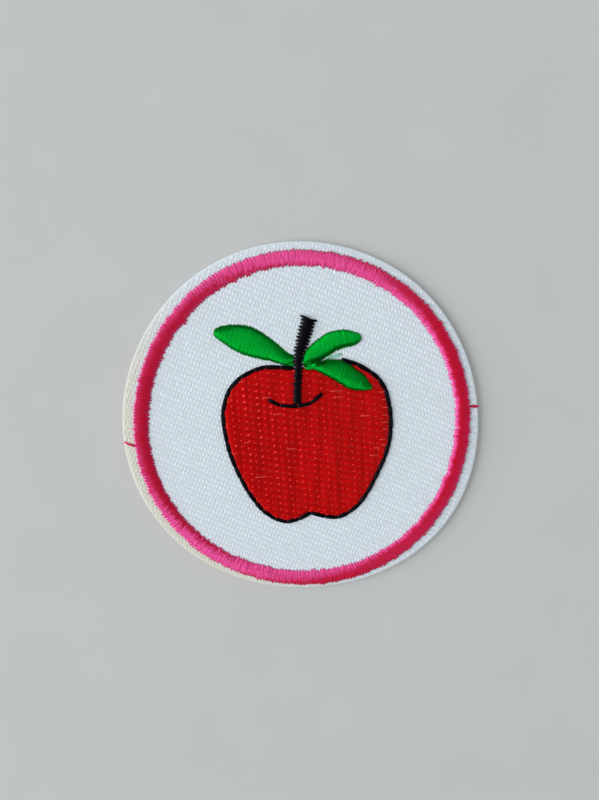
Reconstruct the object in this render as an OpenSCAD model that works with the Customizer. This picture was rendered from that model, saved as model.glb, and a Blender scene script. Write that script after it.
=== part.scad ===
// Round iron-on patch: twill disc with a satin ring and an embroidered apple.
// Millimetres. The patch lies face up, its flat underside on Z = 0.
// The origin is the middle of the border ring. +Y runs up the apple's stem.

/* [Cloth] */
// Mean radius of the cut edge
cut_r = 34.8; // [34.4:0.1:36]
// Thickness of the twill cloth
cloth_t = 1.0; // [1:0.1:2]
// Thickness of the glue film on the underside
film_t = 0.2; // [0.2:0.05:0.4]

/* [Border ring] */
// Mean radius of the middle of the satin ring
ring_r = 31.7; // [31:0.1:32]
// Width of the satin ring
ring_w = 2.9; // [2.4:0.1:3.2]
// Height of the ring's crown above the cloth
ring_h = 0.65; // [0.4:0.05:0.9]

/* [Apple] */
// Thickness of the red fill above the cloth
fill_h = 0.3; // [0.2:0.05:0.4]
// Width of the black line around the apple
line_w = 0.7; // [0.5:0.05:0.8]
// Height of the black lines above what they lie on
line_h = 0.45; // [0.35:0.05:0.6]
// Height of the stem above what it lies on
stem_h = 0.5; // [0.4:0.05:0.7]
// Height of the leaves above what they lie on
leaf_h = 0.5; // [0.4:0.05:0.7]

/* [Hidden] */
// Space left between neighbouring embroidered pieces
gap = 0.06;
// Points drawn between two rows of a table
steps = 3;
cloth_top = film_t + cloth_t;
fill_top = cloth_top + fill_h;

// Hand-cut edge: waves laid on the round outline.
// Columns: [waves per turn, height of the wave, direction in degrees]
CUT_WAVES = [
    [1, 0.16, 135],
    [2, 0.25, -38],
    [3, 0.32, -100],
    [4, 0.16, -170],
    [5, 0.07, 180]
];

// The ring is a little oval too.
// Columns: [waves per turn, height of the wave, direction in degrees]
RING_WAVES = [
    [1, 0.16, -34],
    [2, 0.19, 177],
    [3, 0.12, -105],
    [4, 0.11, 134]
];

// Middle of the black line around the apple,
// from the stem down the left side, along the bottom and up to the lower right leaf.
// Columns: [x, y]
APPLE_LINE = [
    [-1.6, 10.95],
    [-3.1, 10.8],
    [-5.8, 11.3],
    [-8.4, 10.9],
    [-11.0, 9.9],
    [-12.5, 8.6],
    [-13.9, 7.1],
    [-15.1, 4.2],
    [-15.4, 2.2],
    [-15.3, 0],
    [-15.0, -2.1],
    [-14.5, -4.4],
    [-13.85, -6.8],
    [-12.45, -10.1],
    [-11.45, -12.1],
    [-10.25, -14.4],
    [-8.7, -16.4],
    [-7.3, -18.1],
    [-5.9, -19.0],
    [-4.3, -19.7],
    [-2.6, -20.0],
    [-1.2, -19.7],
    [0.2, -18.9],
    [1.5, -18.0],
    [2.6, -18.3],
    [4.8, -18.8],
    [7.2, -19.0],
    [8.6, -18.4],
    [10.0, -17.7],
    [11.6, -16.1],
    [12.8, -14.3],
    [13.7, -12.8],
    [14.6, -10.8],
    [15.5, -8.8],
    [16.2, -7.1],
    [16.9, -5.2],
    [17.3, -3.1],
    [17.5, -0.4],
    [17.4, 2.1],
    [16.9, 4.9],
    [16.2, 7.2],
    [14.9, 9.1],
    [13.1, 10.5],
    [11.1, 11.7],
    [9.2, 12.4],
    [8.2, 12.7]
];

// The fill's edge goes on under the lower right leaf, back to the stem.
// Columns: [x, y]
APPLE_HIDDEN = [
    [6.6, 12.8],
    [5.0, 12.7],
    [3.5, 12.3],
    [2.2, 11.9],
    [1.0, 11.6],
    [-0.3, 11.3]
];

// Middle of the stem from its flared top down over the fill.
// Columns: [x, y, half width, share of the fill's thickness that it is lifted by]
STEM = [
    [1.45, 20.6, 1.5, 0],
    [1.15, 19.6, 1.32, 0],
    [0.65, 17.8, 1.26, 0],
    [0.2, 16.2, 1.16, 0],
    [-0.3, 14.6, 1.0, 0],
    [-0.55, 13.4, 0.88, 0],
    [-0.62, 12.3, 0.82, 0],
    [-0.65, 11.2, 0.8, 1],
    [-0.68, 9.6, 0.8, 1],
    [-0.74, 7, 0.8, 1],
    [-0.8, 4.15, 0.78, 1]
];

// Curved line at the foot of the stem, left to right.
// Columns: [x, y, half width]
DIMPLE = [
    [-6.5, 5.0, 0.22],
    [-5.5, 4.3, 0.28],
    [-3.5, 3.6, 0.3],
    [-1.3, 3.6, 0.3],
    [0.2, 3.6, 0.3],
    [1.7, 4.2, 0.3],
    [3.1, 5.3, 0.3],
    [4.1, 6.4, 0.22]
];

// Leaves, measured along a straight axis from the base to the tip.
// Columns: [distance from the base, middle off the axis, half width]
LEAF_LEFT = [
    [0.0, 0.03, 0.79],
    [0.8, 0.36, 1.16],
    [1.9, 0.26, 1.41],
    [4.0, -0.13, 1.88],
    [6.4, -0.40, 2.45],
    [8.8, -0.58, 2.80],
    [11.2, -0.59, 2.59],
    [13.2, -0.55, 1.98],
    [14.7, -0.37, 1.40],
    [15.5, -0.25, 0.85],
    [15.9, -0.13, 0.2]
];
LEAF_UPPER = [
    [-0.15, 0.1, 0.4],
    [0.4, 0.5, 0.9],
    [1.4, 0.8, 1.42],
    [2.9, 0.96, 1.78],
    [4.6, 1.25, 1.92],
    [6.3, 1.4, 1.86],
    [8.1, 1.16, 1.75],
    [9.6, 0.87, 1.40],
    [10.6, 0.52, 0.93],
    [11.2, 0.24, 0.45],
    [11.5, 0.04, 0.15]
];
LEAF_LOWER = [
    [-0.2, 0.0, 0.15],
    [0.7, 0.2, 0.36],
    [1.6, 0.58, 0.76],
    [3.3, 0.95, 1.4],
    [5.2, 1.15, 1.94],
    [7.2, 0.95, 2.2],
    [9.2, 0.37, 2.02],
    [10.9, 0.23, 1.62],
    [12.1, 0, 0.97],
    [12.7, -0.05, 0.5],
    [13.1, -0.09, 0.15]
];
// Columns: [x of the base, y of the base, direction of the axis in degrees]
LEFT_AXIS = [-1.75, 12.8, 161.3];
UPPER_AXIS = [0.85, 12.3, 24.6];
LOWER_AXIS = [1.06, 11.4, -17.7];

// Cross-section of a raised satin strip.
// Columns: [share of the half width, share of the height]
ARCH = [
    [-1, 0],
    [-1, 0.35],
    [-0.82, 0.7],
    [-0.45, 0.93],
    [0, 1],
    [0.45, 0.93],
    [0.82, 0.7],
    [1, 0.35],
    [1, 0]
];

// Smooth curve through the rows of a table
function between(a, b, c, d, t) =
    0.5 * (2 * b + (c - a) * t + (2 * a - 5 * b + 4 * c - d) * t * t
    + (3 * b - a - 3 * c + d) * t * t * t);
function row(p, i) =
    i < 0 ? 2 * p[0] - p[1]
    : i > len(p) - 1 ? 2 * p[len(p) - 1] - p[len(p) - 2]
    : p[i];
function smooth(p) = concat(
    [for (i = [0 : len(p) - 2]) for (j = [0 : steps - 1])
        between(row(p, i - 1), p[i], p[i + 1], row(p, i + 2), j / steps)],
    [p[len(p) - 1]]);

// Left-hand side of a path at point i
function side(p, i) =
    let (a = p[max(i - 1, 0)], b = p[min(i + 1, len(p) - 1)], l = norm([b[0] - a[0], b[1] - a[1]]))
    [(a[1] - b[1]) / l, (b[0] - a[0]) / l];

// Stations of a strip: [x, y, side x, side y, half width, height, lift of the underside]
function path_stations(p, w, h) =
    [for (i = [0 : len(p) - 1])
        let (s = side(p, i)) [p[i][0], p[i][1], s[0], s[1], len(p[i]) > 2 ? p[i][2] : w, h, 0]];
function stem_stations() =
    [for (i = [0 : steps * (len(STEM) - 1)])
        let (p = smooth(STEM), s = side(p, i))
        [p[i][0], p[i][1], s[0], s[1], p[i][2], stem_h + fill_h,
         fill_h * max(0, min(1, p[i][3]))]];
function crown(w) = leaf_h * (0.5 + 0.5 * min(1, w / 1.4));
function leaf_stations(axis, table, extra = 0) =
    let (c = cos(axis[2]), s = sin(axis[2]))
    [for (p = smooth(table))
        [axis[0] + p[0] * c - p[1] * s, axis[1] + p[0] * s + p[1] * c, -s, c,
         p[2] + extra, crown(p[2]), 0]];

// Raised strip with an arched cross-section standing on height z0
module strip(st, z0) {
    n = len(ARCH);
    m = len(st);
    polyhedron(
        points = [for (s = st) for (a = ARCH)
            [s[0] + s[2] * a[0] * s[4], s[1] + s[3] * a[0] * s[4],
             z0 + s[6] + a[1] * (s[5] - s[6])]],
        faces = concat(
            [for (i = [0 : m - 2]) for (k = [0 : n - 1])
                let (a = i * n + k, b = i * n + (k + 1) % n) [a, a + n, b]],
            [for (i = [0 : m - 2]) for (k = [0 : n - 1])
                let (a = i * n + k, b = i * n + (k + 1) % n) [b, a + n, b + n]],
            [[for (k = [0 : n - 1]) k]],
            [[for (k = [0 : n - 1]) (m - 1) * n + n - 1 - k]]));
}

// Flat outline of a leaf, widened on both sides
function outline(st) = concat(
    [for (s = st) [s[0] + s[2] * s[4], s[1] + s[3] * s[4]]],
    [for (i = [len(st) - 1 : -1 : 0])
        let (s = st[i]) [s[0] - s[2] * s[4], s[1] - s[3] * s[4]]]);

// Sum of the waves of a table in direction t
function waves(w, t, i = 0) =
    i == len(w) ? 0 : w[i][1] * cos(w[i][0] * t - w[i][2]) + waves(w, t, i + 1);

module cut_disc(h) {
    linear_extrude(height = h)
        polygon([for (t = [0 : 3 : 357]) (cut_r + waves(CUT_WAVES, t)) * [cos(t), sin(t)]]);
}

// Glue film, cut together with the cloth
module adhesive_backing() {
    color("cornsilk") cut_disc(film_t);
}

// Twill disc
module ground_cloth() {
    color("whitesmoke") translate([0, 0, film_t]) cut_disc(cloth_t);
}

// Raised satin ring with an arched section
module border_ring() {
    n = len(ARCH);
    m = 90;
    color("crimson")
    polyhedron(
        points = [for (i = [0 : m - 1]) for (a = ARCH)
            let (t = 360 * i / m, r = ring_r + waves(RING_WAVES, t) - a[0] * ring_w / 2)
            [r * cos(t), r * sin(t), cloth_top + a[1] * ring_h]],
        faces = concat(
            [for (i = [0 : m - 1]) for (k = [0 : n - 1])
                let (a = i * n + k, b = i * n + (k + 1) % n, j = (i + 1) % m - i)
                [a, a + j * n, b]],
            [for (i = [0 : m - 1]) for (k = [0 : n - 1])
                let (a = i * n + k, b = i * n + (k + 1) % n, j = (i + 1) % m - i)
                [b, a + j * n, b + j * n]]));
}

// Red fill inside the black line, running on under the leaf
module apple_fill() {
    p = smooth(concat(APPLE_LINE, APPLE_HIDDEN));
    inset = line_w / 2 + gap;
    color("firebrick")
    translate([0, 0, cloth_top])
    linear_extrude(height = fill_h)
        polygon([for (i = [0 : len(p) - 1]) let (s = side(p, i))
            [p[i][0] + s[0] * inset, p[i][1] + s[1] * inset]]);
}

// Black line around the apple, ended where the leaf covers it
module apple_outline() {
    color("#15151c")
    difference() {
        strip(path_stations(smooth(APPLE_LINE), line_w / 2, line_h), cloth_top);
        translate([0, 0, cloth_top - 1])
        linear_extrude(height = 3)
            polygon(outline(leaf_stations(LOWER_AXIS, LEAF_LOWER, gap)));
    }
}

// Satin stem: the upper part stands on the cloth, the lower part on the fill
module stem() {
    color("#101014") strip(stem_stations(), cloth_top);
}

module dimple_line() {
    color("#18181e") strip(path_stations(smooth(DIMPLE), 0.3, line_h * 0.8), fill_top);
}

module leaf_left() {
    color("forestgreen") strip(leaf_stations(LEFT_AXIS, LEAF_LEFT), cloth_top);
}

module leaf_upper_right() {
    color("limegreen") strip(leaf_stations(UPPER_AXIS, LEAF_UPPER), cloth_top);
}

module leaf_lower_right() {
    color("green") strip(leaf_stations(LOWER_AXIS, LEAF_LOWER), fill_top);
}

adhesive_backing();
ground_cloth();
border_ring();
apple_fill();
apple_outline();
stem();
dimple_line();
leaf_left();
leaf_upper_right();
leaf_lower_right();
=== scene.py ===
import math
import random

import bmesh
import bpy
import numpy as np
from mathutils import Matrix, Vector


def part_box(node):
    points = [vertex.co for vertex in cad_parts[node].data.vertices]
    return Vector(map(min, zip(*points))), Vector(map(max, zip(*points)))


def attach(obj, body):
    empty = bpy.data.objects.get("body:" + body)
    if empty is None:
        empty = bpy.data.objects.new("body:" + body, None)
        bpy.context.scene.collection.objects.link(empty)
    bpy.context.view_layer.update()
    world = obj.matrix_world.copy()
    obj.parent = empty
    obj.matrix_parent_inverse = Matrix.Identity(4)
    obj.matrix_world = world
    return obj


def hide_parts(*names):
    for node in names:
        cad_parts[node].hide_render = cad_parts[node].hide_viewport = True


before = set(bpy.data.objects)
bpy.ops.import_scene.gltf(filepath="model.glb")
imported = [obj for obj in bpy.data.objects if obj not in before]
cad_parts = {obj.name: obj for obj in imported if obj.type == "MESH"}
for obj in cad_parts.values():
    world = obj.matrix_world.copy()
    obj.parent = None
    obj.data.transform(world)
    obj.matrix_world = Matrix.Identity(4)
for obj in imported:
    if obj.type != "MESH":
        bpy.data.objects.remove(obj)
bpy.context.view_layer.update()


# Glue film: the cream heat-seal layer that melts under an iron, pressed onto the
# back of the patch and cut together with the cloth. Its edge shows as a thin rim,
# and its underside follows the bobbin stitches of the ring and the apple.
MM = 0.001
TURN = 2 * math.pi
TOUCHING = 0.0001 * MM
FILM_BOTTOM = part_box("adhesive_backing")[0][2]
FILM_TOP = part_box("adhesive_backing")[1][2]
FILM_OVERHANG = 0.10 * MM
FILM_RELIEF = 0.05 * MM
FILM_RIM = 0.4 * MM
FILM_CREAM = (0.72, 0.68, 0.53, 1)
FILM_PALE = (0.80, 0.77, 0.66, 1)
FILM_DEEP = (0.64, 0.60, 0.46, 1)
FILM_RINGS = 70
DISC_STEPS = 240


def outlines(node):
    """Loops of (x, y) round the underside of a node of the frame, in metres."""
    bm = bmesh.new()
    bm.from_mesh(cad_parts[node].data)
    bmesh.ops.remove_doubles(bm, verts=bm.verts, dist=TOUCHING)
    bm.normal_update()
    under = {f.index for f in bm.faces if f.normal.z < -0.5}
    after = {}
    for face in bm.faces:
        for loop in face.loops:
            beyond = [f for f in loop.edge.link_faces if f.index != face.index]
            if face.index in under and not any(f.index in under for f in beyond):
                after[loop.vert.index] = loop.link_loop_next.vert.index
    corners = {v.index: (v.co.x, v.co.y) for v in bm.verts}
    bm.free()
    loops = []
    while after:
        at = next(iter(after))
        ring = []
        while at in after:
            ring.append(corners[at])
            at = after.pop(at)
        loops.append(np.array(ring))
    return sorted(loops, key=len)


def radius_round(loop):
    """A function that gives a loop's distance from the middle in a direction."""
    angle = np.arctan2(loop[:, 1], loop[:, 0])
    order = np.argsort(angle)
    angle, far = angle[order], np.hypot(loop[:, 0], loop[:, 1])[order]
    return lambda a: np.interp(a, angle, far, period=TURN)


cut_radius = radius_round(outlines("adhesive_backing")[-1])
ring_edges = sorted(outlines("border_ring"), key=lambda e: np.hypot(*e[0]))
ring_inside, ring_outside = radius_round(ring_edges[0]), radius_round(ring_edges[-1])
apple_edge = outlines("apple_fill")[-1]


def within(polygon, x, y):
    """True where the points (x, y) lie inside a closed polygon."""
    x, y = np.atleast_1d(x), np.atleast_1d(y)
    ax, ay = polygon[:, 0], polygon[:, 1]
    bx, by = np.roll(ax, -1), np.roll(ay, -1)
    spans = (ay > y[:, None]) != (by > y[:, None])
    rise = np.where(by == ay, 1, by - ay)
    left_of = x[:, None] < ax + (bx - ax) * (y[:, None] - ay) / rise
    return (spans & left_of).sum(axis=1) % 2 == 1


def turned(profile, steps, hollow=False):
    """A closed bmesh turned round the z axis from (radius, height) points. It is a
    disc whose profile begins and ends at the axis, or else a hollow ring."""
    bm = bmesh.new()
    rim = [bm.verts.new((r, 0, z)) for r, z in profile]
    following = rim[1:] + rim[:1] if hollow else rim[1:]
    edges = [bm.edges.new(pair) for pair in zip(rim, following)]
    bmesh.ops.spin(bm, geom=rim + edges, cent=(0, 0, 0), axis=(0, 0, 1), angle=TURN,
                   steps=steps, use_merge=True)
    bmesh.ops.remove_doubles(bm, verts=bm.verts, dist=TOUCHING)
    bmesh.ops.recalc_face_normals(bm, faces=bm.faces)
    return bm


def placed(name, mesh, material, slot, *nodes):
    """A mesh as a named piece of the patch, standing for nodes of the frame."""
    mesh.shade_smooth()
    mesh.materials.clear()
    mesh.materials.append(material)
    piece = bpy.data.objects.new(name, mesh)
    bpy.context.scene.collection.objects.link(piece)
    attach(piece, "root")
    if nodes:
        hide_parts(*nodes)
    return piece


def finished(name, bm, material, slot, *nodes):
    """A bmesh as a named piece of the patch."""
    mesh = bpy.data.meshes.new(name)
    bm.to_mesh(mesh)
    bm.free()
    return placed(name, mesh, material, slot, *nodes)


def follow_cut(bm, radius, overhang=None):
    """Pulls the outer part of a turned disc out to the hand-cut edge."""
    for v in bm.verts:
        r = math.hypot(v.co.x, v.co.y)
        if r > 0:
            a = math.atan2(v.co.y, v.co.x)
            goal = float(cut_radius(a)) + (overhang(a) if overhang else 0)
            share = (r / radius) ** 6
            grow = 1 + share * (goal / radius - 1)
            v.co.x *= grow
            v.co.y *= grow


def new_material(name, colour, roughness):
    """A material with its Principled BSDF and the means to add to it."""
    material = bpy.data.materials.new(name)
    material.use_nodes = True
    nodes = material.node_tree.nodes
    bsdf = nodes["Principled BSDF"]
    bsdf.inputs["Base Color"].default_value = colour
    bsdf.inputs["Roughness"].default_value = roughness
    return material, nodes, material.node_tree.links, bsdf


def clouds(nodes, links, scale, detail):
    """A cloud pattern fixed to the piece. The scale is in clouds to a metre."""
    place = nodes.new("ShaderNodeTexCoord")
    cloud = nodes.new("ShaderNodeTexNoise")
    cloud.inputs["Scale"].default_value = scale
    cloud.inputs["Detail"].default_value = detail
    links.new(place.outputs["Object"], cloud.inputs["Vector"])
    return cloud.outputs["Fac"]


def tinted(nodes, links, share, colour, other):
    """A colour that turns into the other as the share grows from 0 to 1."""
    tint = nodes.new("ShaderNodeMix")
    tint.data_type = "RGBA"
    tint.inputs["A"].default_value = colour
    tint.inputs["B"].default_value = other
    links.new(share, tint.inputs["Factor"])
    return tint.outputs["Result"]


def raised(nodes, links, bsdf, height, strength, deep):
    """Lets a pattern of heights stand out of the surface, at most so deep."""
    bump = nodes.new("ShaderNodeBump")
    bump.inputs["Strength"].default_value = strength
    bump.inputs["Distance"].default_value = deep
    links.new(height, bump.inputs["Height"])
    links.new(bump.outputs["Normal"], bsdf.inputs["Normal"])


def film_material():
    """Cream glue with a slight gloss, clouded where it was pressed on."""
    material, nodes, links, bsdf = new_material("glue_film", FILM_CREAM, 0.38)
    bsdf.inputs["Coat Weight"].default_value = 0.25
    bsdf.inputs["Coat Roughness"].default_value = 0.3
    cloud = clouds(nodes, links, scale=300, detail=4)
    tint = tinted(nodes, links, cloud, FILM_PALE, FILM_DEEP)
    links.new(tint, bsdf.inputs["Base Color"])
    raised(nodes, links, bsdf, cloud, strength=0.35, deep=0.05 * MM)
    return material


def film_overhang(a):
    """The film creeps out a little past the cloth, most at the lower left."""
    side = 0.5 + 0.5 * math.cos(a - math.radians(205))
    ripple = 0.3 * math.sin(23 * a) + 0.2 * math.sin(41 * a + 1)
    return FILM_OVERHANG * (1.6 * side ** 2 - 0.6 + ripple * side)


film_r = float(cut_radius(0.0))
film_rings = [(film_r * k / FILM_RINGS, FILM_BOTTOM) for k in range(FILM_RINGS)]
film_profile = film_rings + [
    (film_r - 0.02 * MM, FILM_BOTTOM),
    (film_r, FILM_BOTTOM + 0.06 * MM),
    (film_r, FILM_TOP - 0.02 * MM),
    (film_r - 0.1 * MM, FILM_TOP),
    (0, FILM_TOP),
]
film = turned(film_profile, DISC_STEPS)
under = [v for v in film.verts if v.co.z < FILM_BOTTOM + TOUCHING]
xs, ys = np.array([v.co.x for v in under]), np.array([v.co.y for v in under])
stitched = within(apple_edge * 1.01, xs, ys)
for v, sewn in zip(under, stitched):
    r, a = math.hypot(v.co.x, v.co.y), math.atan2(v.co.y, v.co.x)
    on_ring = ring_inside(a) - 0.2 * MM < r < ring_outside(a) + 0.2 * MM
    if not (sewn or on_ring or r > film_r - FILM_RIM):
        v.co.z += FILM_RELIEF
follow_cut(film, film_r, film_overhang)
glue_film = film_material()
backing = finished("adhesive_backing_film", film, glue_film, "glue_film", "adhesive_backing")


# Twill: the white ground cloth, a 2/1 twill of thick soft yarn, stiffened and cut
# by hand outside the ring. The warp floats lie in steep columns, each column a
# third of a repeat lower than the last; painted shade darkens the weft between.
CLOTH_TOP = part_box("ground_cloth")[1][2]
CLOTH_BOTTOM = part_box("ground_cloth")[0][2]
WARP_SIDE = np.array([0.66, -0.28]) * MM
WARP_DOWN = np.array([0.24, -1.20]) * MM
FLOAT_LENGTH = 0.90 * MM
FLOAT_WIDTH = 0.68 * MM
FLOAT_HEIGHT = 0.022 * MM
WEFT_LEVEL = CLOTH_TOP - 0.025 * MM
TWILL_WHITE = (0.75, 0.805, 0.85, 1)
TWILL_CREAM = (0.75, 0.73, 0.62, 1)
WEFT_PAINTED_SHADE = (0.868, 0.876, 0.89, 1)
SOAKED_SIDE = math.radians(208)
CLOTH_RINGS = 8
COLUMNS = 90
REPEATS = 60
EDGE_CLEAR = 0.36 * MM
RING_COVER = 0.3 * MM
APPLE_REACH = 22 * MM


def float_shape():
    """One warp float: a blunt pillow with a flat underside."""
    bm = bmesh.new()
    bmesh.ops.create_uvsphere(bm, u_segments=8, v_segments=5, radius=1)
    cut = bmesh.ops.bisect_plane(bm, geom=bm.verts[:] + bm.edges[:] + bm.faces[:],
                                 plane_co=(0, 0, -0.25), plane_no=(0, 0, -1), clear_outer=True)
    rim = [g for g in cut["geom_cut"] if isinstance(g, bmesh.types.BMEdge)]
    bmesh.ops.contextual_create(bm, geom=rim)
    for v in bm.verts:
        v.co.y = math.copysign(abs(v.co.y) ** 0.75, v.co.y)
        v.co.x *= FLOAT_WIDTH / 2
        v.co.y *= FLOAT_LENGTH / 2
        v.co.z *= FLOAT_HEIGHT
    bmesh.ops.recalc_face_normals(bm, faces=bm.faces)
    mesh = bpy.data.meshes.new("warp_float")
    bm.to_mesh(mesh)
    bm.free()
    return mesh


def stamped(name, shape, turns, spots):
    """One mesh of many copies of a small shape. Each is turned by one of the 3 by 3
    turns and set down at one of the spots."""
    corners = np.empty(len(shape.vertices) * 3)
    shape.vertices.foreach_get("co", corners)
    corners = corners.reshape(-1, 3)
    loops = np.empty(len(shape.loops), dtype=int)
    shape.loops.foreach_get("vertex_index", loops)
    starts = np.empty(len(shape.polygons), dtype=int)
    shape.polygons.foreach_get("loop_start", starts)
    count = len(spots)
    points = np.einsum("nij,vj->nvi", turns, corners) + spots[:, None]
    mesh = bpy.data.meshes.new(name)
    mesh.vertices.add(count * len(corners))
    mesh.vertices.foreach_set("co", points.ravel())
    mesh.loops.add(count * len(loops))
    step = np.arange(count)[:, None]
    mesh.loops.foreach_set("vertex_index", (loops + step * len(corners)).ravel())
    mesh.polygons.add(count * len(starts))
    mesh.polygons.foreach_set("loop_start", (starts + step * len(loops)).ravel())
    mesh.update(calc_edges=True)
    return mesh


def ranged(nodes, links, value, start, stop, low=0.0, high=1.0, soft=False):
    """Runs from low to high as the value runs from start to stop."""
    node = nodes.new("ShaderNodeMapRange")
    node.interpolation_type = "SMOOTHSTEP" if soft else "LINEAR"
    node.inputs["From Min"].default_value = start
    node.inputs["From Max"].default_value = stop
    node.inputs["To Min"].default_value = low
    node.inputs["To Max"].default_value = high
    links.new(value, node.inputs["Value"])
    return node.outputs["Result"]


def worked(nodes, links, operation, *values):
    """The result of a sum on numbers and patterns."""
    node = nodes.new("ShaderNodeMath")
    node.operation = operation
    for socket, value in zip(node.inputs, values):
        if isinstance(value, (int, float)):
            socket.default_value = value
        else:
            links.new(value, socket)
    return node.outputs[0]


def shaded(nodes, links, colour, share):
    """A colour made darker or lighter by a pattern of shares."""
    node = nodes.new("ShaderNodeVectorMath")
    node.operation = "SCALE"
    links.new(colour, node.inputs[0])
    links.new(share, node.inputs["Scale"])
    return node.outputs["Vector"]


def twill_material():
    """Matt white yarn, a little woolly, creamy where glue has soaked in, with painted shade on the weft
    between the floats.
    """
    material, nodes, links, bsdf = new_material("twill", TWILL_WHITE, 0.75)
    bsdf.inputs["Sheen Weight"].default_value = 0.15
    bsdf.inputs["Sheen Roughness"].default_value = 0.4
    place = nodes.new("ShaderNodeTexCoord").outputs["Object"]
    # The glue shows in the margin outside the ring, at the left and below.
    away = nodes.new("ShaderNodeVectorMath")
    away.operation = "LENGTH"
    links.new(place, away.inputs[0])
    margin = ranged(nodes, links, away.outputs["Value"], 32.6 * MM, 33.6 * MM, soft=True)
    aside = nodes.new("ShaderNodeVectorMath")
    aside.operation = "DOT_PRODUCT"
    aside.inputs[1].default_value = (math.cos(SOAKED_SIDE), math.sin(SOAKED_SIDE), 0)
    links.new(place, aside.inputs[0])
    side = ranged(nodes, links, aside.outputs["Value"], 2 * MM, 30 * MM, soft=True)
    soaked = worked(nodes, links, "MULTIPLY", margin, side)
    tint = tinted(nodes, links, soaked, TWILL_WHITE, TWILL_CREAM)
    # Between the floats the weft lies a little deeper; painted shade darkens the colour the lower the
    # surface lies.
    height = nodes.new("ShaderNodeSeparateXYZ")
    links.new(place, height.inputs[0])
    level = ranged(nodes, links, height.outputs["Z"], WEFT_LEVEL - 0.04 * MM, WEFT_LEVEL + FLOAT_HEIGHT)
    hollow_shade = nodes.new("ShaderNodeValToRGB")
    stops = hollow_shade.color_ramp.elements
    stops[0].position = 0.4
    stops[0].color = (0.95, 0.95, 0.95, 1)
    stops[1].color = (1, 1, 1, 1)
    stops.new(0.64).color = WEFT_PAINTED_SHADE
    links.new(level, hollow_shade.inputs["Fac"])
    shade = nodes.new("ShaderNodeMix")
    shade.data_type = "RGBA"
    shade.blend_type = "MULTIPLY"
    shade.inputs["Factor"].default_value = 1
    links.new(tint, shade.inputs["A"])
    links.new(hollow_shade.outputs["Color"], shade.inputs["B"])
    # No two yarns are equally full, and the cloth is a little clouded.
    yarn = nodes.new("ShaderNodeNewGeometry")
    cloud = clouds(nodes, links, scale=2600, detail=2)
    mixed = worked(nodes, links, "ADD", yarn.outputs["Random Per Island"], cloud)
    full = ranged(nodes, links, mixed, 0.3, 1.7, 0.91, 1.03)
    uneven = shaded(nodes, links, shade.outputs["Result"], full)
    links.new(uneven, bsdf.inputs["Base Color"])
    fuzz = clouds(nodes, links, scale=9000, detail=3)
    raised(nodes, links, bsdf, fuzz, strength=0.25, deep=0.03 * MM)
    return material


twill = twill_material()
chance = random.Random(7)
cloth_r = float(cut_radius(0.0))
cloth_rings = [(cloth_r * k / CLOTH_RINGS, WEFT_LEVEL) for k in range(CLOTH_RINGS)]
cloth_profile = cloth_rings + [
    (cloth_r - 0.28 * MM, WEFT_LEVEL),
    (cloth_r - 0.09 * MM, WEFT_LEVEL - 0.04 * MM),
    (cloth_r - 0.02 * MM, WEFT_LEVEL - 0.16 * MM),
    (cloth_r, CLOTH_BOTTOM + 0.4 * MM),
    (cloth_r - 0.04 * MM, CLOTH_BOTTOM + 0.02 * MM),
    (0, CLOTH_BOTTOM),
]
cloth = turned(cloth_profile, DISC_STEPS)
follow_cut(cloth, cloth_r)
# The floats cover the whole disc, apart from what lies hidden under the stitches.
warp_floats = []
for column in range(-COLUMNS, COLUMNS + 1):
    for repeat in range(-REPEATS, REPEATS + 1):
        spot = column * WARP_SIDE + repeat * WARP_DOWN
        r, a = math.hypot(*spot), math.atan2(spot[1], spot[0])
        if r > cut_radius(a) - EDGE_CLEAR:
            continue
        if ring_inside(a) + RING_COVER < r < ring_outside(a) - RING_COVER:
            continue
        if r < APPLE_REACH and within(apple_edge * 0.97, *spot)[0]:
            continue
        warp_floats.append(spot)
# No two floats are quite alike, and those at the cut edge are shorter.
lean = math.atan2(WARP_DOWN[0], -WARP_DOWN[1])
turns, spots = [], []
for spot in warp_floats:
    a = lean + chance.gauss(0, 0.03)
    long, wide = chance.gauss(1, 0.04), chance.gauss(1, 0.05)
    r = math.hypot(*spot)
    if r > cut_radius(math.atan2(spot[1], spot[0])) - 0.5 * MM:
        long *= 0.7
    c, s = math.cos(a), math.sin(a)
    full = chance.gauss(1, 0.14)
    turns.append([[c * wide, -s * long, 0], [s * wide, c * long, 0], [0, 0, full]])
    spots.append([spot[0], spot[1], WEFT_LEVEL])
base = bpy.data.meshes.new("cloth_base")
cloth.to_mesh(base)
cloth.free()
floats = stamped("warp_floats", float_shape(), np.array(turns), np.array(spots))
woven = bmesh.new()
woven.from_mesh(base)
woven.from_mesh(floats)
ground = finished("ground_cloth_twill", woven, twill, "twill", "ground_cloth")


# Border ring: satin stitch in crimson polyester thread. The thread zigzags between
# the inner and the outer needle points over a soft padding, 325 times each way, and
# where the ring closes it laps over its own start.
RING_BASE = CLOTH_TOP
RING_CROWN = RING_BASE + 0.61 * MM
RING_TEETH = 325
RING_THREAD = 0.33 * MM
RING_PLY_ASIDE = 0.1 * MM
CAP_TOUCHING = 1e-9
CRIMSON = (0.92, 0.0002, 0.003, 1)
CRIMSON_GLEAM = (0.80, 0.20, 0.70, 1)
OVERLAP_AT = math.radians(138.7)
OVERLAP_IN = 0.5 * MM
FILAMENTS = 22.0
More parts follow.
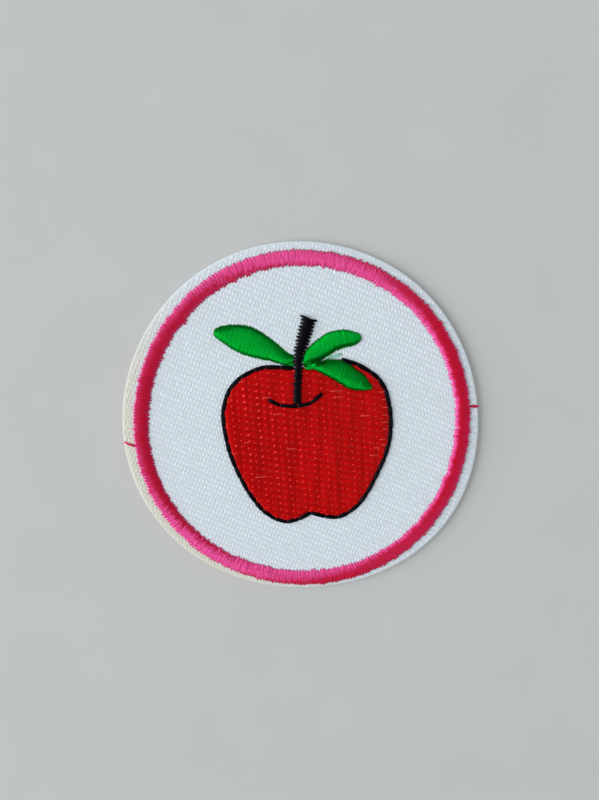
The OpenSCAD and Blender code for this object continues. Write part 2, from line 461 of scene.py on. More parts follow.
# Heights of the ring above the cloth, as shares of its crown, from its inner (-1) to
# its outer edge (1). It stands highest at the right and lies flatter above and below.
RING_ACROSS = [-1, -0.96, -0.8, -0.6, -0.4, -0.2, 0, 0.25, 0.5, 0.7, 0.85, 0.95, 1]
RIGHT_ARCH = [-0.06, 0.06, 0.36, 0.67, 0.87, 0.955, 0.97, 0.94, 0.88, 0.8, 0.71, 0.62, 0.03]
LEFT_ARCH = [-0.06, 0.06, 0.27, 0.51, 0.69, 0.8, 0.855, 0.875, 0.87, 0.845, 0.8, 0.755, 0.05]
LEVEL_ARCH = [-0.06, 0.05, 0.2, 0.375, 0.495, 0.57, 0.61, 0.62, 0.6, 0.555, 0.495, 0.435, 0.02]


def satin_stitch(a, b, floor, crown, arch, aside=0.0):
    """Points of one thread laid from needle point a to b over a padded shape. A ply
    of it lies a little aside, but not at the needle points."""
    a, b = np.array(a), np.array(b)
    side = np.array([a[1] - b[1], b[0] - a[0]]) / np.hypot(*(b - a)) * aside
    points = []
    for s, share in arch:
        spot = a + (b - a) * (s + 1) / 2 + side * min(1, 4 * (1 - abs(s)))
        points.append((*spot, floor + (crown - floor) * share))
    return points


def lay_threads(name, paths, width, high=0.17, slim=0.55, reach=0.2 * MM):
    """A mesh of closed threads along the paths. High is how thick they are as a share
    of their width, and slim what is left of both at the needle points, from a
    distance of reach on."""
    section = [(-1, -0.3), (-0.55, 0.8), (0.55, 0.8), (1, -0.3)]
    outline = bpy.data.curves.new("section", "CURVE")
    outline.dimensions = "2D"
    spline = outline.splines.new("POLY")
    spline.points.add(len(section) - 1)
    spline.use_cyclic_u = True
    for point, (x, y) in zip(spline.points, section):
        point.co = (x * width / 2, y * high * width / 2, 0, 1)
    holder = bpy.data.objects.new("section", outline)
    thread = bpy.data.curves.new(name, "CURVE")
    thread.dimensions = "3D"
    thread.twist_mode = "Z_UP"
    thread.bevel_mode = "OBJECT"
    thread.bevel_object = holder
    thread.use_fill_caps = True
    for path in paths:
        spline = thread.splines.new("POLY")
        spline.points.add(len(path) - 1)
        flat = np.ones((len(path), 4))
        flat[:, :3] = path
        spline.points.foreach_set("co", flat.ravel())
        from_start, from_end = (np.hypot(*(flat[:, :2] - flat[k, :2]).T) for k in (0, -1))
        near = np.minimum(1, np.minimum(from_start, from_end) / reach)
        spline.points.foreach_set("radius", slim + (1 - slim) * near)
    laid = bpy.data.objects.new(name, thread)
    for o in (holder, laid):
        bpy.context.scene.collection.objects.link(o)
    mesh = bpy.data.meshes.new_from_object(laid.evaluated_get(bpy.context.evaluated_depsgraph_get()))
    for o in (laid, holder):
        bpy.data.objects.remove(o)
    # This closes each thread's own caps, and leaves threads that meet apart.
    bm = bmesh.new()
    bm.from_mesh(mesh)
    bmesh.ops.remove_doubles(bm, verts=bm.verts, dist=CAP_TOUCHING)
    if bm.calc_volume(signed=True) < 0:
        bmesh.ops.reverse_faces(bm, faces=bm.faces)
    bm.to_mesh(mesh)
    bm.free()
    return mesh


def twisted_thread():
    """Node group for twisted thread. It gives the height of the two plies and their
    fine filaments, and a tone that differs from stitch to stitch, with painted shade at the needle
    points."""
    group = bpy.data.node_groups.new("twisted_thread", "ShaderNodeTree")
    for socket in ("Turns", "Unevenness", "Painted end shade"):
        group.interface.new_socket(socket, in_out="INPUT", socket_type="NodeSocketFloat")
    for socket in ("Height", "Tone and painted shade"):
        group.interface.new_socket(socket, in_out="OUTPUT", socket_type="NodeSocketFloat")
    nodes, links = group.nodes, group.links
    given, out = nodes.new("NodeGroupInput"), nodes.new("NodeGroupOutput")

    def result(operation, *values):
        return worked(nodes, links, operation, *values)

    # Along the thread from 0 to 1, and round it from 0 to 1.
    place = nodes.new("ShaderNodeSeparateXYZ")
    links.new(nodes.new("ShaderNodeUVMap").outputs["UV"], place.inputs[0])
    far, round_it = place.outputs["X"], place.outputs["Y"]
    wound = result("MULTIPLY", far, given.outputs["Turns"])
    wound = result("ADD", wound, result("MULTIPLY", round_it, 2.0))
    ply = result("SINE", result("MULTIPLY", wound, TURN))
    own = nodes.new("ShaderNodeNewGeometry").outputs["Random Per Island"]
    strand = nodes.new("ShaderNodeCombineXYZ")
    links.new(result("MULTIPLY", far, 6.0), strand.inputs["X"])
    links.new(result("MULTIPLY", wound, FILAMENTS), strand.inputs["Y"])
    links.new(result("MULTIPLY", own, 50.0), strand.inputs["Z"])
    filament = nodes.new("ShaderNodeTexNoise")
    filament.inputs["Scale"].default_value = 1.0
    filament.inputs["Detail"].default_value = 2.0
    links.new(strand.outputs[0], filament.inputs["Vector"])
    fine = filament.outputs["Fac"]
    links.new(result("ADD", result("MULTIPLY", ply, 0.3), fine), out.inputs["Height"])
    # Each stitch has its own tone, and painted shade darkens it where it sinks to a needle point.
    spread = result("MULTIPLY", result("SUBTRACT", own, 0.5), given.outputs["Unevenness"])
    grain = result("MULTIPLY", result("SUBTRACT", fine, 0.5), 0.35)
    even = result("ADD", result("ADD", spread, grain), 1.0)
    end = result("MINIMUM", far, result("SUBTRACT", 1.0, far))
    sunk = result("SUBTRACT", 1.0, result("MINIMUM", result("MULTIPLY", end, 12.0), 1.0))
    end_painted_shade = result("SUBTRACT", 1.0, result("MULTIPLY", sunk, given.outputs["Painted end shade"]))
    links.new(result("MULTIPLY", even, end_painted_shade), out.inputs["Tone and painted shade"])
    return group


twisted = twisted_thread()


def thread_material(name, colour, gleam, turns, unevenness=0.2, ends=0.4, roughness=0.6, dense=2.6):
    """Shiny polyester embroidery thread. Its gleam takes the dye's colour and
    spreads across the thread, not along it, as on any bundle of filaments. Dense is
    its index of refraction: the higher, the stronger the gleam. Ends is how much
    painted shade darkens the thread where it sinks to a needle point."""
    material, nodes, links, bsdf = new_material(name, colour, roughness)
    bsdf.inputs["IOR"].default_value = dense
    bsdf.inputs["Specular IOR Level"].default_value = 1.0
    bsdf.inputs["Specular Tint"].default_value = gleam
    bsdf.inputs["Anisotropic"].default_value = 1.0
    bsdf.inputs["Anisotropic Rotation"].default_value = 0.25
    lie = nodes.new("ShaderNodeTangent")
    lie.direction_type = "UV_MAP"
    links.new(lie.outputs["Tangent"], bsdf.inputs["Tangent"])
    thread = nodes.new("ShaderNodeGroup")
    thread.node_tree = twisted
    thread.inputs["Turns"].default_value = turns
    thread.inputs["Unevenness"].default_value = unevenness
    thread.inputs["Painted end shade"].default_value = ends
    # The dye's colour is multiplied by each stitch's tone and by the painted shade at its ends.
    dye = nodes.new("ShaderNodeMix")
    dye.data_type = "RGBA"
    dye.blend_type = "MULTIPLY"
    dye.inputs["Factor"].default_value = 1
    dye.inputs["A"].default_value = colour
    links.new(thread.outputs["Tone and painted shade"], dye.inputs["B"])
    links.new(dye.outputs["Result"], bsdf.inputs["Base Color"])
    raised(nodes, links, bsdf, thread.outputs["Height"], strength=0.5, deep=0.03 * MM)
    return material


def ring_point(a, outer):
    """A needle point of the ring at an angle. The needle wanders a little, and where
    the ring closes its end laps inward."""
    past_join = math.degrees((a - OVERLAP_AT + math.pi) % TURN - math.pi)
    lap = OVERLAP_IN * math.exp(-(past_join / (1.0 if past_join > 0 else 1.8)) ** 2)
    if outer:
        r = float(ring_outside(a)) + chance.gauss(0, 0.09) * MM - lap * 0.4
        r += 0.15 * (1 - max(0, math.cos(a - 0.2)) ** 2) * MM
    else:
        r = float(ring_inside(a)) + chance.gauss(0, 0.13) * MM - lap
        r -= 0.09 * MM
    a += chance.gauss(0, 0.0015)
    return r * math.cos(a), r * math.sin(a)


def ring_arch(a):
    """The ring's arch at an angle. It leans a little in or out from place to place."""
    right, left = max(0, math.cos(a)) ** 2, max(0, -math.cos(a)) ** 2
    sway = 0.5 * math.sin(9 * a + 1.3) + 0.4 * math.sin(23 * a + 4) + 0.35 * math.sin(41 * a + 2)
    sway = 0.05 * sway + chance.gauss(0, 0.02)
    shares = right * np.array(RIGHT_ARCH) + left * np.array(LEFT_ARCH)
    shares += math.sin(a) ** 2 * np.array(LEVEL_ARCH)
    return [(s + sway * (1 - s * s), share) for s, share in zip(RING_ACROSS, shares)]


ring_red = thread_material("ring_thread", CRIMSON, CRIMSON_GLEAM, turns=3.0, unevenness=0.15,
                           roughness=0.42, dense=3.2)
ring_paths = []
pitch = TURN / RING_TEETH
for k in range(RING_TEETH):
    a = OVERLAP_AT + k * pitch
    inner, outer = ring_point(a, False), ring_point(a + pitch / 2, True)
    inner_next = ring_point(a + pitch, False)
    crown = RING_CROWN - 0.05 * MM + chance.gauss(0, 0.012 * MM)
    for start in (inner, inner_next):
        arch = ring_arch(a)
        for aside in (-RING_PLY_ASIDE, RING_PLY_ASIDE):
            ring_paths.append(satin_stitch(start, outer, RING_BASE, crown, arch, aside))
        crown += chance.gauss(0, 0.014 * MM)
ring_threads = lay_threads("ring_threads", ring_paths, RING_THREAD, high=0.3, slim=0.34,
                           reach=0.36 * MM)


def over_body(body, threads, lie):
    """One bmesh of threads and the padding under them. At a point (x, y), lie gives
    the padding the threads' own place: how far along a thread, and how far round."""
    wrap = body.loops.layers.uv.new("UVMap")
    for face in body.faces:
        for loop in face.loops:
            loop[wrap].uv = lie(loop.vert.co.x, loop.vert.co.y)
    mesh = bpy.data.meshes.new("padding")
    body.to_mesh(mesh)
    body.free()
    both = bmesh.new()
    both.from_mesh(threads)
    both.from_mesh(mesh)
    return both


# The padding is a soft ring that follows the threads from a little below.
ring_middle = (ring_inside(0) + ring_outside(0)) / 2
ring_half = (ring_outside(0) - ring_inside(0)) / 2
pad_profile = [(-0.78, -0.1), (-0.76, 0.3), (-0.45, 0.68), (-0.1, 0.8),
               (0.25, 0.83), (0.6, 0.8), (0.8, 0.7), (0.82, -0.1)]
padding = turned([(ring_middle + s * ring_half, RING_BASE + h * (RING_CROWN - RING_BASE))
                  for s, h in pad_profile], DISC_STEPS, hollow=True)
for v in padding.verts:
    a = math.atan2(v.co.y, v.co.x)
    r = math.hypot(v.co.x, v.co.y)
    grow = 1 + ((ring_inside(a) + ring_outside(a)) / 2 - ring_middle) / r
    v.co.x *= grow
    v.co.y *= grow
    share = max(share for s, share in ring_arch(a))
    v.co.z = RING_BASE + (v.co.z - RING_BASE) * share
radial = over_body(padding, ring_threads, lambda x, y: (
    (math.hypot(x, y) - ring_middle) / (2 * ring_half) + 0.5, math.atan2(y, x) / pitch * 2))
finished("border_ring_satin", radial, ring_red, "ring_thread", "border_ring")


# Apple fill: step stitch in red thread. Rows of 3.8 mm stitches run slightly uphill
# to the right, each begun 1.2 mm further on than the row above, so that the needle
# points fall in a lattice. There the next stitch climbs out of its hole and gleams.
FILL_BASE = CLOTH_TOP
FILL_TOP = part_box("apple_fill")[1][2]
FILL_THREAD = 0.56 * MM
BED_TOP = FILL_TOP - 0.115 * MM
BED_WIDER = 0.2 * MM
ROW_RISE = math.radians(10.31)
ROW_PITCH = 0.4349 * MM
ROW_SHIFT = -1.2211 * MM
STITCH = 3.785 * MM
FIRST_NEEDLE = (1.70 * MM, 0.67 * MM)
# How deep the needle points lie, as shares of the fill's height, and the slopes of
# the thread out of one and down into the next.
DEEP = 0.8
SHALLOW = 0.28
CLIMB = math.tan(math.radians(28))
PLUNGE = math.tan(math.radians(60))
APPLE_RED = (0.72, 0.0001, 0.0002, 1)
APPLE_GLEAM = (0.9, 0.10, 0.10, 1)


def row_spans(polygon, along, across, level):
    """Starts and ends, inside the polygon, of a straight row at a level."""
    u, w = polygon @ along, polygon @ across - level
    u2, w2 = np.roll(u, -1), np.roll(w, -1)
    crossing = (w > 0) != (w2 > 0)
    cuts = np.sort((u - w * (u2 - u) / np.where(w2 == w, 1, w2 - w))[crossing])
    return cuts.reshape(-1, 2)


def step_stitch(a, b, deep_a, deep_b, along, across, level):
    """Points of one stitch of the fill. It climbs from its left needle point at the
    slope that catches the light, to a little hump, and runs on level from there."""
    rise = FILL_TOP - FILL_BASE - 0.1 * MM
    hump = 0.5 * deep_a
    climb = min((deep_a + hump) * rise / CLIMB, 0.3 * (b - a))
    deep_b = DEEP if deep_b > 0.7 else 0.5 * deep_b
    plunge = min(deep_b * rise / PLUNGE, 0.2 * (b - a))
    stops = [(a, 1 - deep_a), (a + 0.5 * climb, 1 + 0.5 * (hump - deep_a)), (a + climb, 1 + hump),
             (a + 1.5 * climb + 0.25 * MM, 1.0), (b - 1.3 * plunge, 1.0), (b, 1 - deep_b)]
    return [(*(along * u + across * level), FILL_BASE + h * rise) for u, h in stops]


along = np.array([math.cos(ROW_RISE), math.sin(ROW_RISE)])
across = np.array([-along[1], along[0]])
# The shoulder left of the stem is sewn a little fuller than drawn.
from_shoulder = (apple_edge[:, 0] + 4.2 * MM) / (3.2 * MM)
upper_edge = apple_edge[:, 1] > 8 * MM
apple_edge[:, 1] += 0.24 * MM * np.exp(-from_shoulder ** 2) * upper_edge
fill_paths = []
levels = apple_edge @ across
first_row = math.ceil((levels.min() + 0.12 * MM - FIRST_NEEDLE[1]) / ROW_PITCH)
last_row = math.floor((levels.max() - 0.12 * MM - FIRST_NEEDLE[1]) / ROW_PITCH)
for row in range(first_row, last_row + 1):
    level = FIRST_NEEDLE[1] + row * ROW_PITCH
    origin = FIRST_NEEDLE[0] + row * ROW_SHIFT
    for start, end in row_spans(apple_edge, along, across, level):
        start -= chance.gauss(0.0, 0.07) * MM
        end += abs(chance.gauss(0.12, 0.06)) * MM
        needles = [(start, chance.uniform(0.15, 0.6))]
        for n in range(math.ceil((start - origin) / STITCH), math.ceil((end - origin) / STITCH)):
            u = origin + n * STITCH + chance.gauss(0, 0.04 * MM)
            deep = DEEP if (n + row) % 2 == 0 else SHALLOW
            deep *= 1 + 0.28 * math.sin(u / (0.9 * MM)) * math.sin(u / (2.3 * MM) + 1)
            if start + 0.6 * MM < u < end - 0.6 * MM:
                needles.append((u, deep * chance.uniform(0.45, 1.25)))
        needles.append((end, DEEP))
        for (a, deep_a), (b, deep_b) in zip(needles, needles[1:]):
            wander = chance.gauss(0, 0.015 * MM)
            fill_paths.append(step_stitch(a, b, deep_a, deep_b, along, across, level + wander))


def streak(material):
    """Faint upright streaks, a little lighter and darker, in a thread's colour."""
    nodes, links = material.node_tree.nodes, material.node_tree.links
    stretch = nodes.new("ShaderNodeMapping")
    stretch.inputs["Scale"].default_value = (650, 45, 1)
    links.new(nodes.new("ShaderNodeTexCoord").outputs["Object"], stretch.inputs["Vector"])
    streaks = nodes.new("ShaderNodeTexNoise")
    streaks.inputs["Scale"].default_value = 1
    streaks.inputs["Detail"].default_value = 1
    links.new(stretch.outputs["Vector"], streaks.inputs["Vector"])
    streak_share = ranged(nodes, links, streaks.outputs["Fac"], 0.38, 0.62, 0.82, 1.08)
    base = nodes["Principled BSDF"].inputs["Base Color"]
    links.new(shaded(nodes, links, base.links[0].from_socket, streak_share), base)


apple_red = thread_material("apple_thread", APPLE_RED, APPLE_GLEAM, turns=3.5, unevenness=0.09,
                            ends=0.1, roughness=0.40, dense=2.2)
streak(apple_red)
fill_threads = lay_threads("fill_threads", fill_paths, FILL_THREAD, high=0.14, slim=0.8)
# Under the rows lies a flat bed, a little wider than the fill.
tangent = np.roll(apple_edge, -1, axis=0) - np.roll(apple_edge, 1, axis=0)
outward = np.stack([tangent[:, 1], -tangent[:, 0]], axis=1) / np.hypot(*tangent.T)[:, None]
if np.sum(outward * apple_edge) < 0:
    outward = -outward
bed = bmesh.new()
bed_edge = apple_edge + outward * BED_WIDER
face = bed.faces.new([bed.verts.new((x, y, FILL_BASE - 0.03 * MM)) for x, y in bed_edge])
top = bmesh.ops.extrude_face_region(bed, geom=[face])["geom"]
for v in top:
    if isinstance(v, bmesh.types.BMVert):
        v.co.z = BED_TOP
bmesh.ops.recalc_face_normals(bed, faces=bed.faces)
rows = over_body(bed, fill_threads, lambda x, y: (
    0.5 + float(np.dot(along, (x, y))) / (20 * STITCH), float(np.dot(across, (x, y))) / ROW_PITCH))
finished("apple_fill_stitches", rows, apple_red, "red_thread", "apple_fill")


# Slack threads: here and there a thread of the fill lies loose on top of the others.
# Their red is paler than the fill's: a painted glint, on top of their own gleam.
# Each is given by its left end (x, y) and its length, in millimetres.
SLACK_GLINT_RED = (0.9, 0.08, 0.07, 1)
SLACK_GLEAM = (1, 0.3, 0.26, 1)
SLACK_THREAD = 0.17 * MM
slack_at = [(5.5, 6.54, 2.8), (6.1, 5.39, 2.1), (15.1, 6.41, 1.0), (15.5, 4.95, 1.0),
            (11.4, 1.70, 2.1), (-5.5, 2.00, 1.9), (-7.6, 5.27, 1.7), (-12.6, 8.36, 1.7),
            (-11.3, -3.67, 1.1), (-9.2, -10.67, 2.6), (-2.8, -4.92, 1.7), (15.9, -0.95, 1.0),
            (15.3, -3.01, 1.3), (15.7, -4.09, 1.0), (15.8, 3.40, 1.0), (15.8, 1.88, 1.0),
            (15.7, 0.43, 1.2), (14.2, -4.68, 1.2), (13.5, -6.19, 1.4), (-14.5, 4.48, 0.8),
            (-14.8, 0.13, 0.7), (-13.5, -5.89, 0.8)]


def loose(points, level, bow=0.1 * MM):
    """A loose thread through (x, y) points in millimetres, arched above a level."""
    count = len(points) - 1
    return [(x * MM, y * MM, level + bow * math.sin(math.pi * k / count))
            for k, (x, y) in enumerate(points)]


slack = []
for x, y, length in slack_at:
    rise = length * math.tan(ROW_RISE) * 0.4
    points = [(x, y), (x + 0.3 * length, y + 0.3 * rise), (x + 0.7 * length, y + 0.75 * rise),
              (x + length, y + rise)]
    slack.append(loose(points, FILL_TOP - 0.03 * MM, bow=0.05 * MM))
# A paler copy of the fill's red thread: the paler colour is painted glint.
slack_glint_material = thread_material("slack_thread", SLACK_GLINT_RED, SLACK_GLEAM, turns=2.0, ends=0.0, dense=1.9)
slack_threads = lay_threads("slack_threads", slack, SLACK_THREAD, high=0.5)
placed("fill_slack_threads", slack_threads, slack_glint_material, "red_thread")


# Black lines: a bean stitch in black thread, three threads to each step, draws the
# apple's outline, and a finer one the dimple at the foot of the stem.
LINE_BASE = CLOTH_TOP
LINE_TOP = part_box("apple_outline")[1][2]
LINE_OUTSIDE = 0.37 * MM
LINE_STEP = 2.7 * MM
LINE_SPREAD = 0.23 * MM
LINE_THREAD = 0.4 * MM
DIMPLE_STEP = 2.9 * MM
DIMPLE_SPREAD = 0.17 * MM
DIMPLE_THREAD = 0.38 * MM
BLACK = (0.004, 0.004, 0.006, 1)
BLACK_GLEAM = (0.65, 0.65, 0.75, 1)
black = thread_material("black_thread", BLACK, BLACK_GLEAM, turns=2.5, dense=1.22)


def measured(path):
    """Distance along a path at each of its points."""
    return np.concatenate([[0], np.cumsum(np.hypot(*np.diff(path, axis=0).T))])


def bean_stitches(path, step, spread, floor, top):
    """Three threads side by side between needle points spaced along a path, the
    middle one a little higher."""
    far = measured(path)
    count = max(2, round(far[-1] / step))
    stops = np.linspace(0, far[-1], count + 1)
    stops[1:-1] += [chance.gauss(0, 0.1 * step) for _ in stops[1:-1]]
    needles = np.stack([np.interp(stops, far, path[:, k]) for k in (0, 1)], axis=1)
    laid = []
    for a, b in zip(needles, needles[1:]):
        side = np.array([a[1] - b[1], b[0] - a[0]]) / np.hypot(*(b - a))
        for lane in (-1, 1, 0):
            points = []
            for s in (0.0, 0.06, 0.2, 0.5, 0.8, 0.94, 1.0):
                bow = math.sin(math.pi * s) ** 0.5 if 0 < s < 1 else 0
                off = side * lane * spread * (0.72 + 0.28 * bow)
                off = off + side * chance.gauss(0, 0.012 * MM)
                lift = 0 if lane else 0.1 * MM
                z = floor + (top - floor) * (0.5 + 0.5 * bow) - 0.12 * MM + (lift - 0.08 * MM) * bow
                if not 0 < s < 1:
                    z = floor - 0.03 * MM
                points.append((*(a + (b - a) * s + off), z))
            laid.append(points)
    return laid


# The outline stops where the stem and the lower right leaf cover it.
line = apple_edge + outward * LINE_OUTSIDE
hidden = (line[:, 1] > 10.2 * MM) & (line[:, 0] > -0.5 * MM) & (line[:, 0] < 7.6 * MM)
start = next(i for i in range(len(line)) if hidden[i - 1] and not hidden[i])
line = np.roll(line, -start, axis=0)
hidden = np.roll(hidden, -start)
line = line[~hidden]
outline_paths = bean_stitches(line, LINE_STEP, LINE_SPREAD, LINE_BASE, LINE_TOP)
outline_threads = lay_threads("outline_threads", outline_paths, LINE_THREAD, high=0.75, slim=0.8)
placed("apple_outline_stitches", outline_threads, black, "black_thread", "apple_outline")

dimple_low, dimple_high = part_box("dimple_line")
dimple = outlines("dimple_line")[-1]
middle_line = []
for x in np.linspace(dimple_low[0] + 0.25 * MM, dimple_high[0] - 0.25 * MM, 30):
    low, high = row_spans(dimple, np.array([0.0, 1.0]), np.array([1.0, 0.0]), x)[0]
    middle_line.append((x, (low + high) / 2))
dimple_paths = bean_stitches(np.array(middle_line), DIMPLE_STEP, DIMPLE_SPREAD,
                             FILL_TOP - 0.08 * MM, dimple_high[2])
dimple_threads = lay_threads("dimple_threads", dimple_paths, DIMPLE_THREAD, high=0.7)
placed("dimple_stitches", dimple_threads, black, "black_thread", "dimple_line")


# Stem and leaves: satin stitch in black and green thread, laid side to side across
# each shape over a little padding. The shapes are the frame's, and the threads' ends
# pass them by a needle's width.
GREEN = (0.001, 0.084, 0.0058, 1)
GREEN_GLEAM = (0.003, 1.0, 0.08, 1)
green = thread_material("leaf_thread", GREEN, GREEN_GLEAM, turns=3.0, roughness=0.42, dense=2.9)
# How high the threads lie from one side (-1) to the other (1), as shares of the crown.
EVEN_ARCH = [(-1, -0.08), (-0.78, 0.42), (-0.42, 0.86), (0, 1), (0.42, 0.86), (0.78, 0.42),
             (1, -0.08)]
LEFT_LEAF_ARCH = [(-1, -0.08), (-0.9, 0.52), (-0.66, 0.87), (-0.35, 1), (0, 0.9), (0.35, 0.62),
                  (0.7, 0.29), (1, -0.08)]
UPPER_LEAF_ARCH = [(-1, -0.08), (-0.86, 0.56), (-0.64, 0.93), (-0.42, 1), (0, 0.93), (0.4, 0.77),
                   (0.75, 0.52), (1, -0.08)]
LOWER_LEAF_ARCH = [(-1, -0.08), (-0.88, 0.56), (-0.64, 0.92), (-0.38, 1), (-0.05, 0.85), (0.35, 0.55),
                   (0.72, 0.26), (1, -0.08)]


def satin_padding(node, cross, normal, floor, arch, narrow, plump):
    """The padding under a satin shape: the node's own solid, made a little narrower
    and pressed down to just under the threads' arch."""
    polygon = outlines(node)[-1]
    foot, tip = (polygon @ normal).min(), (polygon @ normal).max()
    sides, heights = zip(*arch)
    body = bmesh.new()
    body.from_mesh(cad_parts[node].data)
    bmesh.ops.remove_doubles(body, verts=body.verts, dist=TOUCHING)
    for v in body.verts:
        spot = np.array([v.co.x, v.co.y])
        level = float(np.clip(spot @ normal, foot + 0.1 * MM, tip - 0.1 * MM))
        start, end = row_spans(polygon, cross, normal, level)[0]
        middle = (start + end) / 2
        side = 2 * (spot @ cross - middle) / (end - start)
        v.co.x, v.co.y = spot + cross * (middle - spot @ cross) * (1 - narrow)
        share = max(0, np.interp(side, sides, heights))
        v.co.z = floor + (v.co.z - floor) * 0.72 * plump * share
    return body


def satin_shape(node, name, axis, slant, floor, material, slot, arch=EVEN_ARCH, pitch=0.31 * MM,
                width=0.46 * MM, high=0.1, slim=0.4, ragged=0.08 * MM, zigzag=0.1,
                narrow=0.9, extend=0.0, blunt=0.0, fuller=0.0, plump=1.0):
    """A node of the frame as satin threads over padding. The threads advance along the
    axis and lie at the slant to it, both in degrees, with ragged ends past the outline.
    Toward the tip the shape may extend further, keep a blunt width, and be fuller
    where its threads start. A plump shape stands higher than the node."""
    polygon = outlines(node)[-1]
    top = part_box(node)[1][2]
    go = np.array([math.cos(math.radians(axis)), math.sin(math.radians(axis))])
    cross = np.array([math.cos(math.radians(axis + slant)), math.sin(math.radians(axis + slant))])
    normal = np.array([-cross[1], cross[0]])
    if normal @ go < 0:
        normal = -normal
    foot, tip = (polygon @ normal).min(), (polygon @ normal).max()
    paths = []
    level = foot + 0.4 * pitch
    upward = True
    while level < tip - 0.2 * pitch + extend:
        spans = row_spans(polygon, cross, normal, min(level, tip - 0.3 * pitch))
        for start, end in spans[:1]:
            inward = min(1, 2 * (tip - level) / blunt) if blunt else 1
            short = max(0, blunt * math.sqrt(max(0, 1 - (1 - inward) ** 2)) - (end - start)) / 2
            start -= ragged * (1 + chance.gauss(0, 0.45)) + short
            end += ragged * (1 + chance.gauss(0, 0.45)) + short
            start -= fuller * math.exp(-((tip - level - 1.5 * MM) / (1.1 * MM)) ** 2)
            turn = zigzag * pitch * (1 if upward else -1)
            a = cross * start + normal * (level - turn)
            b = cross * end + normal * (level + turn)
            wide = min(1, (end - start) / 2 / (1.4 * MM))
            crown = floor + (top - floor) * plump * (0.5 + 0.5 * wide) - 0.06 * MM
            crown += chance.gauss(0, 0.004 * MM)
            paths.append(satin_stitch(a, b, floor, crown, arch))
        upward = not upward
        level += pitch
    threads = lay_threads(name, paths, width, high, slim, reach=0.35 * MM)
    body = satin_padding(node, cross, normal, floor, arch, narrow, plump)
    sewn = over_body(body, threads, lambda x, y: (
        0.5 + float(np.dot(cross, (x, y))) / (60 * MM), float(np.dot(normal, (x, y))) / pitch))
    finished(name, sewn, material, slot, node)


satin_shape("stem", "stem_satin", -83, 71, CLOTH_TOP, black, "black_thread", pitch=0.34 * MM,
            width=0.48 * MM, high=0.17, slim=0.12, ragged=0.22 * MM, zigzag=0.5, narrow=0.68,
            extend=0.3 * MM)
satin_shape("leaf_left", "leaf_left_satin", 161.3, -90, CLOTH_TOP, green, "green_thread",
            arch=LEFT_LEAF_ARCH, plump=1.25)
satin_shape("leaf_upper_right", "leaf_upper_right_satin", 24.6, 78, CLOTH_TOP, green, "green_thread",
            arch=UPPER_LEAF_ARCH, ragged=0.12 * MM, blunt=1.45 * MM, fuller=0.5 * MM, plump=1.05)
satin_shape("leaf_lower_right", "leaf_lower_right_satin", -17.7, 84, FILL_TOP, green, "green_thread",
            arch=LOWER_LEAF_ARCH, blunt=1.3 * MM, plump=1.2)


# Loose threads: at the foot of the two right leaves the green thread crosses over
# from one to the other and a few pale ends stay loose. Two ends of the ring's thread
# lie across the margin. All are placed by (x, y) points in millimetres.
PALE_GREEN = (0.36, 0.78, 0.58, 1)
PALE_GREEN_GLEAM = (0.5, 1.0, 0.7, 1)
CROSSING_THREAD = 0.42 * MM
WISP_THREAD = 0.12 * MM
STRAY_THREAD = 0.34 * MM
crossing = []
for k in range(15):
    t = k / 14
    foot = (0.7 + 0.9 * t, 11.25 + 0.1 * t)
    tip = (0.4 + 4.3 * t, 12.95 + 0.4 * t)
    middle = ((foot[0] + tip[0]) / 2 - 0.1, (foot[1] + tip[1]) / 2 + chance.gauss(0, 0.05))
    crossing.append(loose([foot, middle, tip], CLOTH_TOP + (0.3 - 0.18 * t) * MM))
for k in range(6):
    foot = (-2.9 + 0.24 * k, 11.38 - 0.03 * k)
    tip = (-3.0 + 0.26 * k, 12.35 - 0.02 * k)
    middle = ((foot[0] + tip[0]) / 2, (foot[1] + tip[1]) / 2)
    crossing.append(loose([foot, middle, tip], CLOTH_TOP + 0.22 * MM))
crossing += [
    loose([(1.5, 11.45), (3.1, 11.83), (4.27, 12.08), (5.43, 12.65)], FILL_TOP + 0.3 * MM),
    loose([(1.5, 11.7), (3.0, 12.1), (4.2, 12.35), (5.3, 12.95)], FILL_TOP + 0.26 * MM),
    loose([(1.2, 11.4), (1.6, 11.9), (2.5, 12.35), (3.0, 12.5)], FILL_TOP + 0.3 * MM),
]
crossing_threads = lay_threads("crossing_threads", crossing, CROSSING_THREAD, slim=0.6)
placed("leaf_crossing_threads", crossing_threads, green, "green_thread")

wisps = []
for k in range(5):
    lower = 12.8 + 0.14 * k
    upper = 13.36 + 0.16 * k + chance.gauss(0, 0.06)
    points = [(4.6, lower), (5.7, lower + 0.1), (6.9, upper - 0.15), (7.9 - 0.08 * k, upper)]
    wisps.append(loose(points, CLOTH_TOP + (0.03 + 0.012 * k) * MM, bow=0.05 * MM))
pale_green = thread_material("loose_thread", PALE_GREEN, PALE_GREEN_GLEAM, turns=2.0, ends=0.0,
                             dense=1.6)
wisp_threads = lay_threads("wisp_threads", wisps, WISP_THREAD, high=0.8)
placed("leaf_wisps", wisp_threads, pale_green, "green_thread")

strays = [
    loose([(-32.2, -4.5), (-33.2, -4.3), (-34.2, -3.9), (-34.95, -3.65)], CLOTH_TOP + 0.06 * MM),
    loose([(-32.4, -4.25), (-33.2, -4.15), (-34.2, -3.8), (-34.8, -3.45)], CLOTH_TOP + 0.04 * MM),
    loose([(32.6, 3.45), (33.3, 3.5), (33.9, 3.46), (34.45, 3.5)], CLOTH_TOP + 0.06 * MM),
    loose([(32.6, 3.7), (33.3, 3.72), (33.9, 3.66), (34.4, 3.72)], CLOTH_TOP + 0.04 * MM),
]
stray_threads = lay_threads("stray_threads", strays, STRAY_THREAD, high=0.7)
placed("margin_threads", stray_threads, ring_red, "ring_thread")


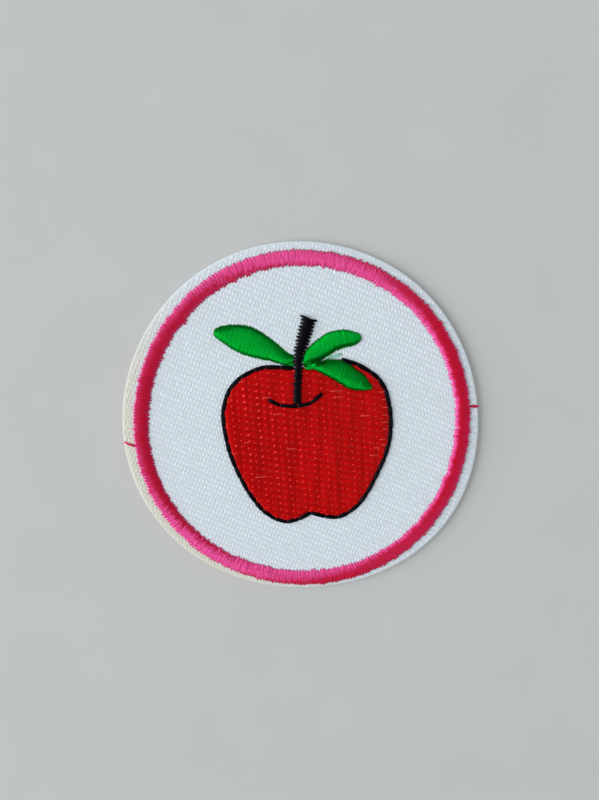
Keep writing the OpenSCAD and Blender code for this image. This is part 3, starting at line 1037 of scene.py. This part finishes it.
# Floor, light and camera: a plain pale board in matt paint. One soft light like a
# window stands low on the left and a weak one opposite, with daylight all round.
FLOOR_PAINT = (0.55, 0.545, 0.53, 1)
FLOOR_DEEP = (0.53, 0.525, 0.51, 1)
FLOOR_PALE = (0.57, 0.565, 0.55, 1)
FLOOR_HALF = 1.5
DAYLIGHT = (0.93, 0.97, 1.0)
DAYLIGHT_STRENGTH = 0.53
WARM_LIGHT = (1.0, 0.97, 0.93)
CAMERA_SPOT = (-0.414 * MM, 24.428 * MM, 120.898 * MM)
CAMERA_TILT = math.radians(-9.3)
CAMERA_LENS = 28.08


def floor_material():
    """Matt painted board, very slightly clouded."""
    material, nodes, links, bsdf = new_material("floor", FLOOR_PAINT, 0.9)
    cloud = clouds(nodes, links, scale=60, detail=5)
    links.new(tinted(nodes, links, cloud, FLOOR_DEEP, FLOOR_PALE), bsdf.inputs["Base Color"])
    return material


board = bmesh.new()
bmesh.ops.create_grid(board, x_segments=1, y_segments=1, size=FLOOR_HALF)
floor_mesh = bpy.data.meshes.new("floor")
board.to_mesh(floor_mesh)
board.free()
floor_mesh.materials.append(floor_material())
floor = bpy.data.objects.new("floor", floor_mesh)
bpy.context.scene.collection.objects.link(floor)

world = bpy.data.worlds.new("studio")
world.use_nodes = True
sky = world.node_tree.nodes["Background"]
sky.inputs["Color"].default_value = (*DAYLIGHT, 1)
sky.inputs["Strength"].default_value = DAYLIGHT_STRENGTH
world.cycles_visibility.glossy = False
bpy.context.scene.world = world


def soft_light(name, azimuth, height, away, wide, tall, energy, colour):
    """A soft rectangular light that faces the patch, from degrees round and up."""
    light = bpy.data.lights.new(name, "AREA")
    light.shape = "RECTANGLE"
    light.size = tall
    light.size_y = wide
    light.energy = energy
    light.color = colour
    lamp = bpy.data.objects.new(name, light)
    a, h = math.radians(azimuth), math.radians(height)
    lamp.location = (away * math.cos(h) * math.cos(a), away * math.cos(h) * math.sin(a),
                     away * math.sin(h))
    lamp.rotation_euler = (0, math.pi / 2 - h, a)
    bpy.context.scene.collection.objects.link(lamp)


soft_light("window", azimuth=177, height=28, away=2.0, wide=2.2, tall=1.8, energy=48, colour=DAYLIGHT)
soft_light("bounce", azimuth=5, height=30, away=2.0, wide=1.5, tall=1.0, energy=4, colour=WARM_LIGHT)

camera = bpy.data.cameras.new("camera")
camera.sensor_width = 36
camera.lens = CAMERA_LENS
camera.clip_start = 0.01
eye = bpy.data.objects.new("camera", camera)
eye.location = CAMERA_SPOT
eye.rotation_euler = (CAMERA_TILT, 0, 0)
bpy.context.scene.collection.objects.link(eye)
bpy.context.scene.camera = eye
bpy.context.scene.view_settings.view_transform = "Standard"
